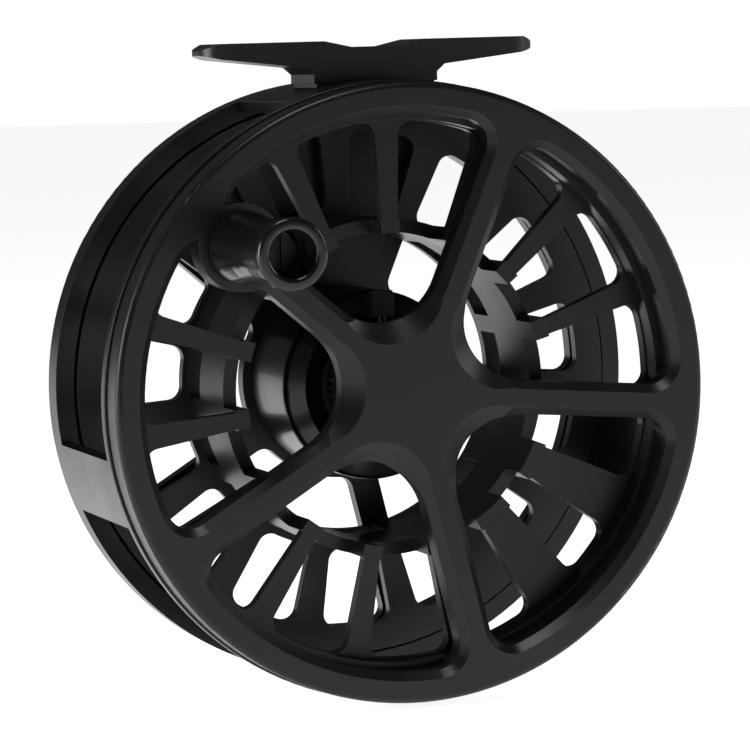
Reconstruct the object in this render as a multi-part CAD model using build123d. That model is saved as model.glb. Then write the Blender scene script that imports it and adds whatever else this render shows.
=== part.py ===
"""Large-arbor fly reel as separate parts, in millimetres, +Z up, axle along Y.

The parts are drawn about the spool's axle with depth 0 on the spool's front
face, then shifted so that the origin is the floor of the reel foot's saddle.
"""
from build123d import *
from math import cos, radians, sin
import os

os.makedirs("parts", exist_ok=True)

# ---- driving dimensions (mm, degrees) ----
RIM_R = 54.0            # outer radius of the spool's palming rim
RIM_DEPTH = 6.0         # depth of the rim's outer band
RIM_IN_R = 48.6         # wall of the rim behind its bevel
FACE_BEVEL = 1.4        # 45 degree bevel round each opening of the star
STAR_DEPTH = 5.0        # thickness of the spokes
SPOKES = 5
SPOKE_0 = -4.9          # direction of the first spoke
SPOKE_HALF = 2.95       # half width of a spoke behind its bevels
PITCH = 360.0 / SPOKES
RIBS = 15
RIB_PITCH = 360.0 / RIBS
FLANGE_Y = 10.0         # flat front of the ribs
FLANGE_T = 2.4
FLANGE_R = 51.5
WALL_IN_R = 47.6
ARBOR_IN_R = 27.6
ARBOR_R = 30.0
SLOT_DEPTH = 7.0        # how far the openings run along the arbor
REAR_Y = 38.0
REAR_T = 2.0
REAR_R = 50.6
REAR_WIN_IN_R = 31.2
REAR_WIN_R = 45.6
HANDLE_R = 41.0
HANDLE_A = 139.1
HANDLE_LEN = 28.0
CAGE_Y0 = 6.35
CAGE_Y1 = 45.7
CAGE_R = 54.4
CAGE_IN_R = 52.2
FRONT_RING = 1.9
REAR_RING_Y = 38.6
REAR_RING_IN = 51.1
PLATE_Y = 42.0
SEAT_Y = 23.5           # middle of the reel foot
FOOT_TOP = 61.4
SADDLE_DIP = 1.1
FOOT_W = 13.0
FOOT_L = 62.2
PLATE_SPOKE_HALF = 2.6  # half width of the plate's spokes, which line up with the star
PLATE_IN_R = 18.5
PLATE_OUT_R = 46.0
SMALL_PORT = (124, 136)
PILLARS = [(70, 110), (189.5, 202.5), (337.5, 350.5)]
HOUSING_R = 17.0
HOUSING_IN_R = 15.2
HUB_R = 8.5
BEARING_R = 6.5
SPINDLE_R = 3.0
GEAR_R = 11.3
TEETH = 48
GUIDE_Y = 17.6          # depth of the click plunger's axis

ORIGIN = (0.0, -SEAT_Y, -(FOOT_TOP - SADDLE_DIP))


def polar(radius, angle):
    """Sketch point at a radius and angle, angle counted from +X towards +Z."""
    return (radius * cos(radians(angle)), -radius * sin(radians(angle)))


def disc_plane(depth):
    """Plane across the axle at a depth; its normal points to the back."""
    return Plane(origin=(0, depth, 0), x_dir=(1, 0, 0), z_dir=(0, 1, 0))


def turn(shape, angle):
    """Turn a shape about the axle, positive from +X towards +Z."""
    return Rot(0, -angle, 0) * shape


def slab(sketch, depth, thickness):
    """Extrude a sketch backwards from a depth."""
    return extrude(disc_plane(depth) * sketch, amount=thickness)


def tube(r_in, r_out, y0, y1):
    """Ring or disc about the axle."""
    ring = Circle(r_out)
    if r_in > 0:
        ring -= Circle(r_in)
    return slab(ring, y0, y1 - y0)


def turned(points, rounds=None):
    """Revolve a (radius, depth) outline about the axle, with rounded corners."""
    face = make_face(Polyline(*points, close=True))
    for (r, y), size in (rounds or {}).items():
        corner = face.vertices().sort_by_distance((r, y, 0))[0]
        face = fillet(corner, size)
    return revolve(face, axis=Axis.Y)


def sector(r_in, r_out, half_angle, centre, corner):
    """Ring sector with rounded corners, as a sketch."""
    reach = r_out * 2
    wedge = Polygon(
        (0, 0),
        polar(reach, centre - half_angle),
        polar(reach, centre + half_angle),
        align=None,
    )
    face = (Circle(r_out) - Circle(r_in)) & wedge
    return fillet(face.vertices(), corner)


def merged(first, others):
    """Fuse a list of shapes onto the first."""
    for other in others:
        first = first + other
    return first


def cut_all(body, cutters):
    """Subtract every cutter."""
    for cutter in cutters:
        body = body - cutter
    return body


# ---- spool ----
def star_window():
    """One opening between two spokes, centred on angle 0."""
    half = PITCH / 2
    apex = SPOKE_HALF / sin(radians(half))
    reach = 90.0
    far = [
        (apex + reach * cos(radians(half)), sign * reach * sin(radians(half)))
        for sign in (-1, 1)
    ]
    wedge = Polygon((apex, 0), far[0], far[1], align=None)
    face = Circle(RIM_IN_R) & wedge
    tip = face.vertices().sort_by(Axis.X)[0]
    face = fillet(tip, 11.6)
    outer = face.vertices().sort_by(Axis.X)[-2:]
    return fillet(outer, 4.2)


def spool_star():
    """Front face: rim, five bevelled spokes and the scalloped hub."""
    disc = turned(
        [(0, 0), (RIM_R, 0), (RIM_R, RIM_DEPTH), (WALL_IN_R, RIM_DEPTH),
         (WALL_IN_R, STAR_DEPTH), (0, STAR_DEPTH)],
        {(RIM_R, 0): 1.0, (RIM_R, RIM_DEPTH): 0.3},
    )
    window = star_window()
    through = extrude(disc_plane(-1) * window, amount=12)
    bevel = extrude(disc_plane(FACE_BEVEL) * window, amount=-FACE_BEVEL, taper=-45)
    scallop = revolve(
        make_face(Polyline((0, -0.5), (10.2, -0.5), (9.9, 0), (5.2, 3.4), (0, 3.4), close=True)),
        axis=Axis.Y,
    )
    cutters = []
    for index in range(SPOKES):
        middle = SPOKE_0 + PITCH * (index + 0.5)
        for tool in (through, bevel, Pos(19.3, 0, 0) * scallop):
            cutters.append(turn(tool, middle))
    star = cut_all(disc, cutters)
    x, z = HANDLE_R * cos(radians(HANDLE_A)), HANDLE_R * sin(radians(HANDLE_A))
    pad = Pos(x, 0, z) * tube(0, 7.6, 0, STAR_DEPTH)
    return star + pad


def rib_windows(r_in, r_out, half_angle, y0, depth, corner=1.6):
    """Openings between neighbouring ribs; the ones opposite the handle are narrow."""
    tools = []
    for index in range(RIBS):
        middle = SPOKE_0 + RIB_PITCH * (index + 0.5)
        half = half_angle
        if index in (12, 14):
            half -= 1.6
            middle += 1.6 if index == 14 else -1.6
        if index == 13:
            half -= 3.0
        tools.append(slab(sector(r_in, r_out, half, middle, corner), y0, depth))
    return tools


def spool_face():
    """Star and palming rim, with the post hole in the handle's pad."""
    x, z = HANDLE_R * cos(radians(HANDLE_A)), HANDLE_R * sin(radians(HANDLE_A))
    return spool_star() - Pos(x, 0, z) * tube(0, 2.5, -1, STAR_DEPTH + 1)


def spool_wall():
    """Short wall that joins the rim to the front flange."""
    return tube(WALL_IN_R, FLANGE_R, RIM_DEPTH, FLANGE_Y)


def spool_front_flange():
    """Flange of flat ribs, open at its inner edge between the ribs."""
    disc = tube(ARBOR_R, FLANGE_R, FLANGE_Y, FLANGE_Y + FLANGE_T)
    tools = rib_windows(ARBOR_R - 2.0, WALL_IN_R - 0.2, 9.3, FLANGE_Y - 1, FLANGE_T + 2, 2.5)
    return cut_all(disc, tools)


def spool_rear_flange():
    """Rear flange with closed, rounded windows."""
    disc = tube(ARBOR_R, REAR_R, REAR_Y, REAR_Y + REAR_T)
    return cut_all(disc, rib_windows(REAR_WIN_IN_R, REAR_WIN_R, 8.5, REAR_Y - 1, REAR_T + 2, 2.4))


def spool_arbor():
    """Drum between the flanges, notched in front and slotted just ahead of its closed rear edge."""
    drum = tube(ARBOR_IN_R, ARBOR_R, FLANGE_Y, REAR_Y + REAR_T)
    for y0, depth in ((FLANGE_Y - 2.0, SLOT_DEPTH + 2.0), (REAR_Y - SLOT_DEPTH, SLOT_DEPTH)):
        drum = cut_all(drum, rib_windows(ARBOR_IN_R - 4.0, ARBOR_R + 4.0, 8.5, y0, depth))
    return drum


def spool_hub():
    """Bearing tube behind the star."""
    return tube(BEARING_R, HUB_R, STAR_DEPTH, 36.6)


def click_gear():
    """Ring of pointed teeth on the hub."""
    points = []
    for index in range(TEETH):
        angle = (index + 0.5) * 360.0 / TEETH
        points.append(polar(GEAR_R - 1.1, angle - 180.0 / TEETH))
        points.append(polar(GEAR_R, angle))
    face = Polygon(*points, align=None) - Circle(HUB_R)
    return slab(face, GUIDE_Y - 1.05, 2.1)


def spool_bearings():
    """Two identical bearings on the spindle."""
    one = tube(SPINDLE_R + 0.03, BEARING_R, 0, 5.0)
    return merged(Pos(0, 6.5, 0) * one, [Pos(0, 31.4, 0) * one])


def bearing_spacer():
    """Tube that keeps the two bearings apart."""
    return tube(5.2, BEARING_R, 11.5, 31.4)


def one_way_clutch():
    """Roller clutch between the hub and the drag rotor."""
    return tube(HUB_R, 10.5, 26.0, 34.0)


def drag_rotor():
    """Disc that turns between the brake discs."""
    return tube(10.5, 12.0, 26.0, 34.0) + tube(10.5, 14.8, 29.5, 30.5)


def handle_post():
    """Shaft riveted through the spoke's pad."""
    shaft = tube(0, 2.5, -18.4, STAR_DEPTH)
    head = tube(0, 3.6, STAR_DEPTH, STAR_DEPTH + 0.9)
    return at_handle(shaft + head)


def handle_screw():
    """Screw head that keeps the knob on its post."""
    head = tube(0, 3.2, -20.0, -18.4)
    slot = slab(Rectangle(0.9, 8.0), -20.2, 0.9)
    return at_handle(head - slot)


def at_handle(shape):
    """Move a shape from the axle to the handle."""
    x, z = HANDLE_R * cos(radians(HANDLE_A)), HANDLE_R * sin(radians(HANDLE_A))
    return Pos(x, 0, z) * shape


def handle_knob():
    """Waisted knob, open at its free end."""
    end = -HANDLE_LEN
    outline = [
        (3.6, -0.4), (6.2, -0.4), (6.3, -3.0), (5.6, -9.0), (5.4, -15.0), (5.8, -22.0),
        (6.1, end), (3.9, end), (3.9, -18.1), (3.6, -18.1),
    ]
    return at_handle(turned(outline, {(6.1, end): 0.6, (6.2, -0.4): 0.5}))


def handle_bushings():
    """Two identical plain bushes in the knob."""
    one = tube(2.55, 3.6, 0, 6.0)
    return at_handle(merged(Pos(0, -7.0, 0) * one, [Pos(0, -18.0, 0) * one]))


# ---- frame ----
def cage_front_ring():
    """Thin ring just behind the palming rim."""
    return turned(
        [(CAGE_IN_R, CAGE_Y0), (CAGE_R, CAGE_Y0),
         (CAGE_R, CAGE_Y0 + FRONT_RING), (CAGE_IN_R, CAGE_Y0 + FRONT_RING)],
        {(CAGE_R, CAGE_Y0): 0.3},
    )


def cage_piece(a0, a1):
    """Part of the cage's side between two angles, behind the front ring."""
    rim = [polar(80, a0 + (a1 - a0) * k / 8) for k in range(9)]
    wedge = Polygon((0, 0), *rim, align=None)
    y0 = CAGE_Y0 + FRONT_RING
    return slab((Circle(CAGE_R) - Circle(CAGE_IN_R)) & wedge, y0, REAR_RING_Y - y0)


def cage_bridge():
    """Wide section under the foot, with a flat seat and two screw holes."""
    bridge = cage_piece(*PILLARS[0]) + Pos(0, SEAT_Y, 53.2) * Box(22.0, 12.4, 1.6)
    return cut_all(bridge, [Pos(x, SEAT_Y, 53) * Cylinder(1.6, 12) for x in (-7.0, 7.0)])


def cage_pillars():
    """Two side pillars."""
    return merged(cage_piece(*PILLARS[1]), [cage_piece(*PILLARS[2])])


def cage_rear_ring():
    """Deep rounded ring at the back."""
    return turned(
        [(REAR_RING_IN, REAR_RING_Y), (CAGE_R, REAR_RING_Y), (CAGE_R, CAGE_Y1), (47.0, CAGE_Y1),
         (47.0, PLATE_Y), (REAR_RING_IN, PLATE_Y - 0.6)],
        {(CAGE_R, CAGE_Y1): 2.2},
    )


def plate_port():
    """One port between two of the plate's straight-sided spokes, centred on angle 0."""
    half = PITCH / 2
    apex = PLATE_SPOKE_HALF / sin(radians(half))
    far = [
        (apex + 90.0 * cos(radians(half)), sign * 90.0 * sin(radians(half)))
        for sign in (-1, 1)
    ]
    face = (Circle(PLATE_OUT_R) - Circle(PLATE_IN_R)) & Polygon((apex, 0), far[0], far[1], align=None)
    return slab(fillet(face.vertices(), 2.6), PLATE_Y - 1, 6)


def back_plate():
    """Plate with the axle's seat and spokes in line with the star; solid under the foot's left."""
    plate = tube(SPINDLE_R, 47.0, PLATE_Y, CAGE_Y1 - 0.8)
    ports = [turn(plate_port(), SPOKE_0 + PITCH * (index + 0.5)) for index in (0, 2, 3, 4)]
    a0, a1 = SMALL_PORT
    ports.append(slab(sector(34.0, 46.0, (a1 - a0) / 2, (a0 + a1) / 2, 1.6), PLATE_Y - 1, 6))
    return cut_all(plate, ports)


def reel_foot():
    """Foot with two tapering arms on a pedestal."""
    top, half = FOOT_TOP, FOOT_L / 2
    left = [
        (-11.5, 54.0), (-11.5, 55.6), (-13.0, 56.9), (-28.0, 58.6), (-half, 59.4), (-half, 60.3),
        (-28.4, top), (-9.4, top), (-4.4, top - SADDLE_DIP),
    ]
    right = [(-x, z) for x, z in reversed(left)]
    outline = make_face(Polyline(*[(x, -z) for x, z in left + right], close=True))
    blank = slab(outline, SEAT_Y - FOOT_W / 2, FOOT_W)
    plan = Plane.XY * (Pos(0, SEAT_Y) * RectangleRounded(FOOT_L, FOOT_W, 5.2))
    foot = blank & extrude(plan, amount=80)
    foot -= tube(0, CAGE_R, 0, 50)
    for x in (-7.0, 7.0):
        foot -= Pos(x, SEAT_Y, 55.0) * Cylinder(1.6, 6.0)
    return foot


def foot_screws():
    """Two identical screws from the cage into the foot."""
    one = Cylinder(1.6, 6.0) + Pos(0, 0, -3.0) * Cylinder(1.6, 0.4)
    return merged(Pos(-7.0, SEAT_Y, 55.0) * one, [Pos(7.0, SEAT_Y, 55.0) * one])


def drag_housing():
    """Cup that holds the drag, with a dished front."""
    return turned(
        [(9.6, 23.6), (13.6, 20.6), (HOUSING_R, 22.4), (HOUSING_R, PLATE_Y),
         (HOUSING_IN_R, PLATE_Y), (HOUSING_IN_R, 25.3), (9.6, 25.3)],
        {(HOUSING_R, 22.4): 1.6},
    )


def spindle():
    """Fixed axle from the back plate."""
    return tube(0, SPINDLE_R, 6.4, PLATE_Y + 2.0) + tube(0, 5.6, 38.4, 40.0)


def housing_seal():
    """Seal in the mouth of the housing."""
    return tube(HUB_R + 0.08, 9.6, 23.8, 25.1)


def brake_discs():
    """Two identical friction discs either side of the rotor."""
    one = tube(12.3, HOUSING_IN_R, 0, 1.0)
    return merged(Pos(0, 28.2, 0) * one, [Pos(0, 30.8, 0) * one])


def backing_ring():
    """Ring that the front friction disc rests on."""
    return tube(12.6, HOUSING_IN_R, 25.3, 28.2)


def pressure_plate():
    """Steel plate behind the rear friction disc."""
    return tube(12.4, HOUSING_IN_R, 31.8, 33.6)


def drag_spring():
    """Coned spring washer."""
    return turned([(12.4, 34.4), (HOUSING_IN_R, 33.6), (HOUSING_IN_R, 34.6), (12.4, 35.4)])


def drag_pusher():
    """Plate that the knob's stem presses on."""
    return tube(9.2, HOUSING_IN_R, 35.4, 37.4) + tube(9.2, 12.0, 37.4, 40.0) + tube(5.6, 12.0, 38.4, 40.0)


def click_block():
    """Block on the housing that guides the click plunger."""
    block = Pos(0, GUIDE_Y + 2.2, 14.6) * Box(4.0, 6.8, 4.0)
    below = turned([(0, 23.6), (9.6, 23.6), (13.6, 20.6), (HOUSING_R, 22.4), (HOUSING_R, 40), (0, 40)])
    return block - below - Pos(0, GUIDE_Y, 14.6) * Cylinder(0.86, 6.0)


def click_plunger():
    """Pointed plunger that rests between two gear teeth."""
    shaft = Pos(0, GUIDE_Y, 13.2) * Cylinder(0.8, 3.2)
    tip = Pos(0, GUIDE_Y, 11.2) * Cone(0.12, 0.8, 0.8)
    return shaft + tip


def click_spring():
    """Spring behind the plunger, drawn as a sleeve."""
    return Pos(0, GUIDE_Y, 15.7) * (Cylinder(0.7, 1.8) - Cylinder(0.4, 2.2))


def spring_cap():
    """Cap that closes the block above the spring."""
    return Pos(0, GUIDE_Y, 16.9) * Box(3.6, 2.2, 0.6)


def drag_knob():
    """Scalloped knob on the back."""
    knob = turned([(0, 46.3), (15.0, 46.3), (14.4, 56.3), (0, 56.3)], {(14.4, 56.3): 1.2, (15.0, 46.3): 0.6})
    flutes = []
    for index in range(20):
        flutes.append(turn(Pos(16.3, 51.0, 0) * Rot(90, 0, 0) * Cylinder(2.0, 14.0), index * 18.0))
    return cut_all(knob, flutes) - tube(0, 3.5, 53.5, 57)


def knob_stem():
    """Stem behind the knob."""
    return tube(0, 2.7, 44.2, 46.3)


def knob_screw():
    """Screw in the middle of the knob."""
    head = tube(0, 3.5, 53.5, 55.6)
    return head - slab(RegularPolygon(1.6, 6), 54.3, 2.0)


MAKERS = [
    cage_front_ring, cage_bridge, cage_pillars, cage_rear_ring, back_plate, reel_foot, foot_screws,
    drag_housing, spindle, housing_seal, backing_ring, brake_discs,
    pressure_plate, drag_spring, drag_pusher, click_block, spring_cap, click_spring, click_plunger,
    spool_face, spool_wall, spool_front_flange, spool_arbor, spool_rear_flange, spool_hub, click_gear,
    spool_bearings, bearing_spacer, one_way_clutch, drag_rotor, handle_post,
    handle_screw, handle_knob, handle_bushings, drag_knob, knob_stem, knob_screw,
]

for maker in MAKERS:
    shape = Pos(*ORIGIN) * maker()
    export_step(shape, f"parts/{maker.__name__}.step")
    print(maker.__name__, round(shape.volume, 1), len(shape.solids()))
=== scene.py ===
"""Looks of a large-arbor fly reel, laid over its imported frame.

Lengths are metres in the row frame: the origin is on the reel foot, Z is up
and the axle runs along Y with the handle towards -Y.
"""

import logging
from dataclasses import dataclass, field
from enum import Enum
from typing import Any

import bpy
import numpy as np
from mathutils import Matrix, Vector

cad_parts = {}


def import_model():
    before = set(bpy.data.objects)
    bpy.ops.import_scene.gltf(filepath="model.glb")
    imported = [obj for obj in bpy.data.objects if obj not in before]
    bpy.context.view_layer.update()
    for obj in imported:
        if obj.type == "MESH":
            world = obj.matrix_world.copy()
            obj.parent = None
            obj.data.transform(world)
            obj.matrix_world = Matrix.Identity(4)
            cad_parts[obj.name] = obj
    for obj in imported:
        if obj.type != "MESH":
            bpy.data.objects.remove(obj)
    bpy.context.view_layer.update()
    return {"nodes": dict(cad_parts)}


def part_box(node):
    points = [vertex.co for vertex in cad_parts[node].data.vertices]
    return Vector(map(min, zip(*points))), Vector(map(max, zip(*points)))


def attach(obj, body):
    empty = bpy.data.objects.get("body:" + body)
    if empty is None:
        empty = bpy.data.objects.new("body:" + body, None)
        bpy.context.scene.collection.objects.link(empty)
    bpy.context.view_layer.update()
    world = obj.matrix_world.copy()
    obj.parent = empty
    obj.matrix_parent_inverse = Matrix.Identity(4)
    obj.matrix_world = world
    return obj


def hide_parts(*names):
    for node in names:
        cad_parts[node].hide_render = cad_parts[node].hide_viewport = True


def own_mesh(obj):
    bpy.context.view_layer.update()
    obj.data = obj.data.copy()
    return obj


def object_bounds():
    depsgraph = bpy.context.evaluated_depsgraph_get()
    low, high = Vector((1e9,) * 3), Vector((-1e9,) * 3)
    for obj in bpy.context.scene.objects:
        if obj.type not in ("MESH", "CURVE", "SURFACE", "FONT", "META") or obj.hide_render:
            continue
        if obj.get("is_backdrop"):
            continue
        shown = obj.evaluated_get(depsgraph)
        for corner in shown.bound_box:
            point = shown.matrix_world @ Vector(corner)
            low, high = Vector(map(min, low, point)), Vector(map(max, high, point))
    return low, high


LOG = logging.getLogger("reel")
MM = 0.001
AXLE_Z = -0.0603
FACE_Y = -0.0235
PATCHES_PER_M = 55.0
BUMP_MM = 0.02
FLOOR_GAP = 0.0006


def linear(code: str) -> tuple[float, float, float, float]:
    """Turn an sRGB hex colour into linear light.

    Args:
        code: Six hex digits with a leading hash.

    Returns:
        Red, green, blue and full alpha.
    """
    parts = [int(code[i : i + 2], 16) / 255.0 for i in (1, 3, 5)]
    lin = [p / 12.92 if p <= 0.04045 else ((p + 0.055) / 1.055) ** 2.4 for p in parts]
    return (lin[0], lin[1], lin[2], 1.0)


def add_node(
    tree: bpy.types.NodeTree,
    kind: str,
    settings: dict[str, Any] | None = None,
    links: dict[str | int, bpy.types.NodeSocket] | None = None,
    **attributes: Any,
) -> bpy.types.Node:
    """Add a shader node with its values and its incoming links.

    Args:
        tree: The tree that gets the node.
        kind: Node type name without its ShaderNode prefix.
        settings: Socket values by socket name or index.
        links: Source sockets by input name or index.
        attributes: Values for the node's own properties.

    Returns:
        The new node.
    """
    node = tree.nodes.new("ShaderNode" + kind)
    for name, value in attributes.items():
        setattr(node, name, value)
    for key, value in (settings or {}).items():
        node.inputs[key].default_value = value
    for key, source in (links or {}).items():
        tree.links.new(source, node.inputs[key])
    return node


class Grain(Enum):
    """How a surface was worked."""

    BLASTED = "blasted"
    TURNED = "turned"
    MOULDED = "moulded"
    WOVEN = "woven"


@dataclass(frozen=True)
class Finish:
    """One surface finish.

    The colour is a hex code, sizes are millimetres, the highlight weight is how
    strongly a painted highlight lightens machined edges towards the lighter colour,
    and gloss is the specular level of a surface that isn't metal.
    """

    name: str
    colour: str
    highlight_colour: str
    metallic: float
    roughness: float
    grain: Grain
    grain_mm: float
    bump: float
    highlight_strength: float = 0.0
    coat: float = 0.0
    edge_mm: float = 0.18
    gloss: float = 0.32

    def build(self) -> bpy.types.Material:
        """Make the procedural material.

        Returns:
            A material whose colour, roughness and bump come from noise at the
            real grain size, with softened edges that a painted highlight lightens.
        """
        material = bpy.data.materials.new(self.name)
        material.use_nodes = True
        tree = material.node_tree
        tree.nodes.clear()
        place = add_node(tree, "TexCoord").outputs["Object"]
        fine = self._fine(tree, place)
        patches = {"Scale": PATCHES_PER_M, "Detail": 4.0}
        broad = add_node(tree, "TexNoise", patches, {"Vector": place}).outputs["Fac"]
        # Painted highlight: near machined edges, where the bevelled normal parts from the true normal, the
        # colour is lightened towards the second hex colour, patchy with broad noise.
        soft = add_node(tree, "Bevel", {"Radius": self.edge_mm * MM}, samples=4).outputs["Normal"]
        plain = add_node(tree, "NewGeometry").outputs["Normal"]
        flat = add_node(tree, "VectorMath", None, {0: soft, 1: plain}, operation="DOT_PRODUCT")
        same = flat.outputs["Value"]
        highlight_range = {1: 1.0, 2: 0.86, 3: 0.0, 4: self.highlight_strength}
        painted_edge_highlight = add_node(tree, "MapRange", highlight_range, {0: same}).outputs[0]
        patchy = add_node(tree, "MapRange", {1: 0.3, 2: 0.7, 3: 0.55, 4: 1.0}, {0: broad}).outputs[0]
        highlight_factor = add_node(tree, "Math", None, {0: painted_edge_highlight, 1: patchy}, operation="MULTIPLY").outputs[0]
        shades = {6: self._shade(0.88), 7: self._shade(1.14)}
        base = add_node(tree, "Mix", shades, {0: fine}, data_type="RGBA")
        ends = {0: highlight_factor, 6: base.outputs[2]}
        # Mix the painted highlight along edges into the base colour.
        colour = add_node(tree, "Mix", {7: linear(self.highlight_colour)}, ends, data_type="RGBA")
        low, high = self.roughness - 0.05, self.roughness + 0.06
        rough = add_node(tree, "MapRange", {1: 0.3, 2: 0.7, 3: low, 4: high}, {0: broad}).outputs[0]
        bump = add_node(
            tree, "Bump", {"Strength": self.bump, "Distance": BUMP_MM * MM}, {"Height": fine, "Normal": soft}
        )
        shader = add_node(
            tree,
            "BsdfPrincipled",
            {
                "Metallic": self.metallic,
                "Coat Weight": self.coat,
                "Coat Roughness": 0.12,
                "Specular IOR Level": 0.5 if self.metallic else self.gloss,
            },
            {"Base Color": colour.outputs[2], "Roughness": rough, "Normal": bump.outputs[0]},
        )
        add_node(tree, "OutputMaterial", None, {"Surface": shader.outputs[0]})
        return material

    def _shade(self, gain: float) -> tuple[float, float, float, float]:
        """Return the base colour brightened by a gain."""
        red, green, blue, _ = linear(self.colour)
        return (red * gain, green * gain, blue * gain, 1.0)

    def _fine(self, tree: bpy.types.NodeTree, place: bpy.types.NodeSocket) -> bpy.types.NodeSocket:
        """Make the grain's height pattern.

        Args:
            tree: The material's tree.
            place: Object coordinates in metres.

        Returns:
            A socket from 0 to 1.
        """
        scale = 1.0 / (self.grain_mm * MM)
        if self.grain is Grain.TURNED:
            shift = add_node(tree, "Mapping", {"Location": (0.0, 0.0, -AXLE_Z)}, {"Vector": place})
            rings = add_node(
                tree, "TexWave", {"Scale": scale / 20.0, "Distortion": 0.4}, {"Vector": shift.outputs[0]},
                wave_type="RINGS", rings_direction="Y",
            )
            return rings.outputs["Fac"]
        if self.grain is Grain.WOVEN:
            return add_node(tree, "TexChecker", {"Scale": scale}, {"Vector": place}).outputs["Fac"]
        detail = 2.0 if self.grain is Grain.BLASTED else 5.0
        noise = add_node(tree, "TexNoise", {"Scale": scale, "Detail": detail}, {"Vector": place})
        return noise.outputs["Fac"]


# Black anodised aluminium over a bead-blasted face: even, slightly blue, with a painted highlight along its
# edges.
SPOOL_BLACK = Finish(
    "black_anodised_spool", "#121217", "#6d6d76", 0.0, 0.34, Grain.BLASTED, 0.16, 0.25, 0.40, 0.0, 0.12
)
FRAME_BLACK = Finish(
    "black_anodised_frame", "#0f0f12", "#6d6d76", 0.0, 0.30, Grain.BLASTED, 0.16, 0.22, 0.40, 0.0, 0.12
)
KNOB_BLACK = Finish("black_anodised_knob", "#1a1a1e", "#76767c", 0.0, 0.32, Grain.BLASTED, 0.16, 0.22, 0.60)
# Polished black composite: long soft streaks along the grip and the drag cover.
GLOSS_BLACK = Finish(
    "polished_black_grip", "#0c0c0d", "#3a3a3e", 0.0, 0.22, Grain.MOULDED, 0.6, 0.06, 0.2, 0.3, 0.25
)
COVER_BLACK = Finish(
    "polished_black_cover", "#09090a", "#2c2c30", 0.0, 0.32, Grain.MOULDED, 0.8, 0.05, 0.2, 0.3
)
GEAR_BLACK = Finish("moulded_black_gear", "#161618", "#404044", 0.0, 0.42, Grain.MOULDED, 0.3, 0.2, 0.2)
# Turned steel: fine rings that stretch a highlight into a bow tie.
STEEL = Finish("turned_steel", "#9a9a9c", "#d0d0d2", 1.0, 0.30, Grain.TURNED, 0.12, 0.15, 0.2)
SPRING_STEEL = Finish("drawn_spring_steel", "#8e8e90", "#c4c4c8", 1.0, 0.34, Grain.MOULDED, 0.2, 0.1, 0.1)
DARK_STEEL = Finish("blackened_steel", "#2a2a2c", "#77777a", 1.0, 0.34, Grain.TURNED, 0.15, 0.15, 0.4)
RUBBER = Finish("seal_rubber", "#161616", "#242424", 0.0, 0.75, Grain.MOULDED, 0.25, 0.3)
CARBON = Finish("woven_friction_carbon", "#1a1a1b", "#2c2c2e", 0.0, 0.55, Grain.WOVEN, 0.8, 0.3)
BUSH = Finish("natural_bush_plastic", "#d6d2c4", "#e2dfd4", 0.0, 0.45, Grain.MOULDED, 0.4, 0.1)
PLASTIC = Finish("moulded_dark_plastic", "#1c1c1e", "#38383a", 0.0, 0.5, Grain.MOULDED, 0.3, 0.2)

DRESS: dict[str, Finish] = {
    "cage_front_ring": FRAME_BLACK,
    "cage_bridge": FRAME_BLACK,
    "cage_pillars": FRAME_BLACK,
    "cage_rear_ring": FRAME_BLACK,
    "back_plate": FRAME_BLACK,
    "reel_foot": FRAME_BLACK,
    "foot_screws": DARK_STEEL,
    "drag_housing": COVER_BLACK,
    "spindle": STEEL,
    "housing_seal": RUBBER,
    "backing_ring": STEEL,
    "brake_discs": CARBON,
    "pressure_plate": STEEL,
    "drag_spring": SPRING_STEEL,
    "drag_pusher": STEEL,
    "click_block": PLASTIC,
    "spring_cap": PLASTIC,
    "click_spring": SPRING_STEEL,
    "click_plunger": DARK_STEEL,
    "spool_face": SPOOL_BLACK,
    "spool_wall": SPOOL_BLACK,
    "spool_front_flange": SPOOL_BLACK,
    "spool_arbor": SPOOL_BLACK,
    "spool_rear_flange": SPOOL_BLACK,
    "spool_hub": SPOOL_BLACK,
    "click_gear": GEAR_BLACK,
    "spool_bearings": STEEL,
    "bearing_spacer": KNOB_BLACK,
    "one_way_clutch": STEEL,
    "drag_rotor": STEEL,
    "handle_post": STEEL,
    "handle_screw": DARK_STEEL,
    "handle_knob": GLOSS_BLACK,
    "handle_bushings": BUSH,
    "drag_knob": KNOB_BLACK,
    "knob_stem": STEEL,
    "knob_screw": DARK_STEEL,
}


class Paintbox:
    """Builds each finish once."""

    def __init__(self) -> None:
        """Start with no materials."""
        self._made: dict[str, bpy.types.Material] = {}

    def get(self, finish: Finish) -> bpy.types.Material:
        """Return the material of a finish, built on first use."""
        if finish.name not in self._made:
            self._made[finish.name] = finish.build()
        return self._made[finish.name]


def surface(name: str, points: np.ndarray, wrap_u: bool = False) -> bpy.types.Object:
    """Make a mesh from a grid of points.

    Args:
        name: Object name.
        points: Array of shape (u, v, 3), with u along the piece and v round it.
        wrap_u: Whether the last row joins the first, as the last column does.

    Returns:
        A smooth-shaded object linked to the scene, at the origin.
    """
    rows, cols = points.shape[:2]
    index = np.arange(rows * cols).reshape(rows, cols)
    first = index if wrap_u else index[:-1]
    down = np.roll(index, -1, axis=0) if wrap_u else index[1:]
    corners = [first, np.roll(first, -1, axis=1), np.roll(down, -1, axis=1), down]
    faces = np.stack(corners, axis=-1).reshape(-1, 4)
    mesh = bpy.data.meshes.new(name)
    mesh.from_pydata(points.reshape(-1, 3).tolist(), [], faces.tolist())
    mesh.shade_smooth()
    mesh.validate()
    piece = bpy.data.objects.new(name, mesh)
    bpy.context.scene.collection.objects.link(piece)
    return piece


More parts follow.
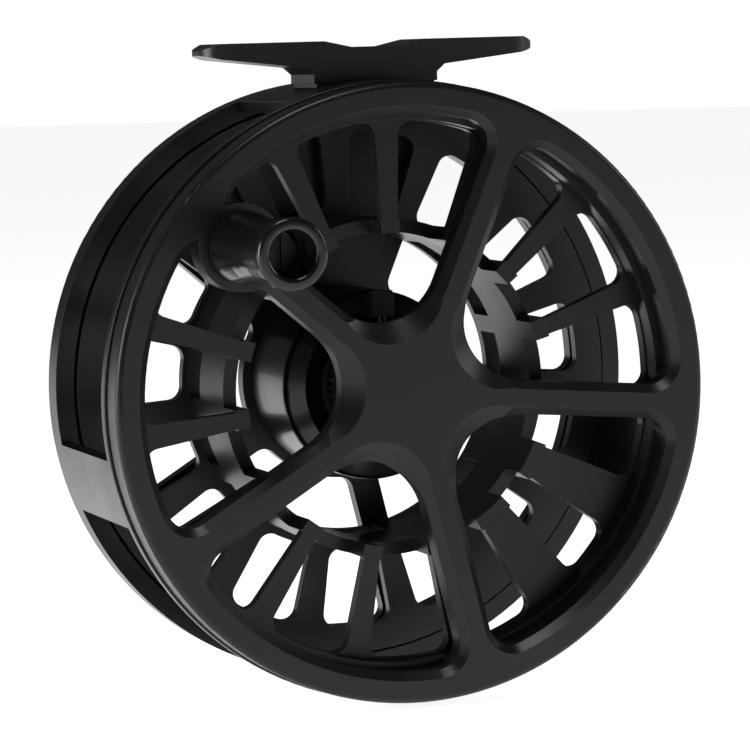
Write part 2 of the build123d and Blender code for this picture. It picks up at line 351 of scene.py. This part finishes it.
@dataclass
class CadLooks:
    """Dresses every node that is carried over from the frame."""

    paint: Paintbox
    skipped: tuple[str, ...] = ("handle_knob", "click_spring")

    def dress(self, nodes: dict[str, bpy.types.Object]) -> None:
        """Give each carried-over node its finish.

        Args:
            nodes: CAD objects by node name.
        """
        for name, piece in nodes.items():
            if name in self.skipped:
                continue
            material = self.paint.get(DRESS[name])
            piece.data.materials.clear()
            piece.data.materials.append(material)
            LOG.info("dressed %s in %s", name, material.name)


@dataclass
class Grip:
    """The handle's waisted knob, open at its free end.

    The outline is a closed list of (radius, depth) in millimetres from the
    spool's face; corners are rounded by averaging neighbouring samples.
    """

    paint: Paintbox
    sides: int = 128
    samples: int = 420
    passes: int = 5
    outline: list[tuple[float, float]] = field(
        default_factory=lambda: [
            (3.62, -0.45), (5.7, -0.45), (6.25, -1.1), (6.3, -2.6), (6.05, -5.5), (5.62, -9.5), (5.42, -13.5),
            (5.45, -17.5), (5.7, -21.5), (6.0, -25.5), (6.08, -27.3), (5.75, -27.9), (4.35, -27.95),
            (3.95, -27.6), (3.92, -18.14), (3.62, -18.12),
        ]
    )

    def build(self) -> bpy.types.Object:
        """Turn the outline about the handle's axis and hang it on its body.

        Returns:
            The grip, in place of the plain knob.
        """
        low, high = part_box("handle_knob")
        centre_x, centre_z = (low[0] + high[0]) / 2, (low[2] + high[2]) / 2
        corner = np.array(self.outline + self.outline[:1])
        length = np.r_[0.0, np.cumsum(np.hypot(*np.diff(corner, axis=0).T))]
        along = np.linspace(0.0, length[-1], self.samples, endpoint=False)
        line = np.stack([np.interp(along, length, corner[:, k]) for k in (0, 1)], axis=1)
        for _ in range(self.passes):
            line = (np.roll(line, 1, axis=0) + 2.0 * line + np.roll(line, -1, axis=0)) / 4.0
        turn = np.linspace(0.0, 2.0 * np.pi, self.sides, endpoint=False)
        radius, depth = line[:, :1], line[:, 1:]
        points = np.stack(
            [
                centre_x + radius * np.cos(turn) * MM,
                np.repeat(FACE_Y + depth * MM, self.sides, axis=1),
                centre_z + radius * np.sin(turn) * MM,
            ],
            axis=-1,
        )
        piece = surface("handle_grip", points, wrap_u=True)
        piece.data.materials.append(self.paint.get(GLOSS_BLACK))
        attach(piece, "handle")
        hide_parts("handle_knob")
        LOG.info("built %s", piece.name)
        return piece


@dataclass
class ClickCoil:
    """Coil spring behind the click plunger.

    The wire's centre is a helix about a vertical line, and the tube round it
    is a circle in the plane across the helix.
    """

    paint: Paintbox
    turns: float = 4.0
    wire_mm: float = 0.14
    coil_mm: float = 0.54
    lift_mm: float = 0.7

    def build(self) -> bpy.types.Object:
        """Sweep the wire along its helix over the height of the plain sleeve.

        Returns:
            The coil, in place of the plain sleeve.
        """
        low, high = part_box("click_spring")
        middle = np.array([(low[0] + high[0]) / 2, (low[1] + high[1]) / 2])
        along = np.linspace(0.0, 1.0, 160)
        angle = along * self.turns * 2.0 * np.pi
        wire, coil = self.wire_mm * MM, self.coil_mm * MM
        height = low[2] + wire + along * (high[2] - low[2] - 2.0 * wire)
        ring = np.linspace(0.0, 2.0 * np.pi, 12, endpoint=False)
        out = coil + wire * np.cos(ring)[None, :]
        points = np.stack(
            [
                middle[0] + out * np.cos(angle)[:, None],
                middle[1] + out * np.sin(angle)[:, None],
                height[:, None] + wire * np.sin(ring)[None, :],
            ],
            axis=-1,
        )
        piece = surface("click_coil", points)
        piece.data.materials.append(self.paint.get(SPRING_STEEL))
        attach(piece, "frame")
        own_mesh(piece)
        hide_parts("click_spring")
        LOG.info("built %s", piece.name)
        return piece


@dataclass
class Studio:
    """Pale floor, soft lights and the camera."""

    place: tuple[float, float, float] = (-0.219402, -0.624255, -0.001035)
    right: tuple[float, float, float] = (0.94201, -0.33445, -0.02769)
    up: tuple[float, float, float] = (0.05501, 0.07247, 0.99585)
    forward: tuple[float, float, float] = (0.33105, 0.93962, -0.08667)
    lens_mm: float = 178.15

    def build(self) -> None:
        """Set up the whole studio."""
        self._camera()
        self._floor()
        self._world()
        self._light("key_left", (-1.0, 0.1, 0.05), 0.6, 8.0)
        self._light("fill_right", (0.9, -0.3, 0.25), 0.4, 2.4)
        self._light("top_soft", (-0.1, -0.2, 0.95), 0.4, 3.6)

    def _camera(self) -> None:
        """Place the camera, looking down on the reel from its front left."""
        data = bpy.data.cameras.new("camera")
        data.lens, data.sensor_width = self.lens_mm, 36.0
        data.clip_start, data.clip_end = 0.01, 50.0
        camera = bpy.data.objects.new("camera", data)
        axes = np.array([self.right, self.up, -np.array(self.forward)]).T
        matrix = np.eye(4)
        matrix[:3, :3], matrix[:3, 3] = axes, self.place
        camera.matrix_world = Matrix(matrix.tolist())
        bpy.context.scene.collection.objects.link(camera)
        bpy.context.scene.camera = camera

    def _floor(self) -> None:
        """Lay a pale floor under the reel."""
        radius, turn = np.array([0.001, 0.2, 1.0, 6.0]), np.linspace(0, 2 * np.pi, 96, endpoint=False)
        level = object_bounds()[0][2] - FLOOR_GAP
        points = np.stack(
            [np.outer(radius, np.cos(turn)), np.outer(radius, np.sin(turn)), np.full((4, 96), level)], axis=-1
        )
        floor = surface("floor", points)
        material = bpy.data.materials.new("pale_floor")
        material.use_nodes = True
        shader = material.node_tree.nodes["Principled BSDF"]
        shader.inputs["Base Color"].default_value = linear("#f4f4f4")
        shader.inputs["Roughness"].default_value = 0.9
        shader.inputs["Emission Color"].default_value = (1.0, 1.0, 1.0, 1.0)
        shader.inputs["Emission Strength"].default_value = 0.88
        floor.data.materials.append(material)
        floor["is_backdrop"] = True

    def _world(self) -> None:
        """Give the room a white background that lights the reel softly."""
        world = bpy.data.worlds.new("room")
        bpy.context.scene.world = world
        world.use_nodes = True
        tree = world.node_tree
        tree.nodes.clear()
        bpy.context.scene.view_settings.view_transform = "Standard"
        seen = add_node(tree, "LightPath").outputs["Is Camera Ray"]
        strength = add_node(tree, "MapRange", {3: 0.055, 4: 1.05}, {0: seen}).outputs[0]
        glow = add_node(tree, "Background", {"Color": (1.0, 1.0, 1.0, 1.0)}, {"Strength": strength})
        add_node(tree, "OutputWorld", None, {"Surface": glow.outputs[0]})

    def _light(self, name: str, place: tuple[float, float, float], size: float, power: float) -> None:
        """Add a square soft light aimed at the reel's axle.

        Args:
            name: Light name.
            place: Position in metres.
            size: Side of the square.
            power: Watts.
        """
        data = bpy.data.lights.new(name, "AREA")
        data.size, data.energy = size, power
        light = bpy.data.objects.new(name, data)
        aim = np.array([0.0, 0.0, AXLE_Z]) - np.array(place)
        back = -aim / np.linalg.norm(aim)
        side = np.cross([0.0, 1.0, 0.0] if abs(back[2]) > 0.9 else [0.0, 0.0, 1.0], back)
        side /= np.linalg.norm(side)
        matrix = np.eye(4)
        matrix[:3, :3], matrix[:3, 3] = np.array([side, np.cross(back, side), back]).T, place
        light.matrix_world = Matrix(matrix.tolist())
        bpy.context.scene.collection.objects.link(light)


def main() -> None:
    """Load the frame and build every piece."""
    logging.basicConfig(level=logging.INFO, format="%(name)s: %(message)s")
    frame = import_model()
    paint = Paintbox()
    CadLooks(paint).dress(frame["nodes"])
    Grip(paint).build()
    ClickCoil(paint).build()
    Studio().build()


if __name__ == "__main__":
    main()
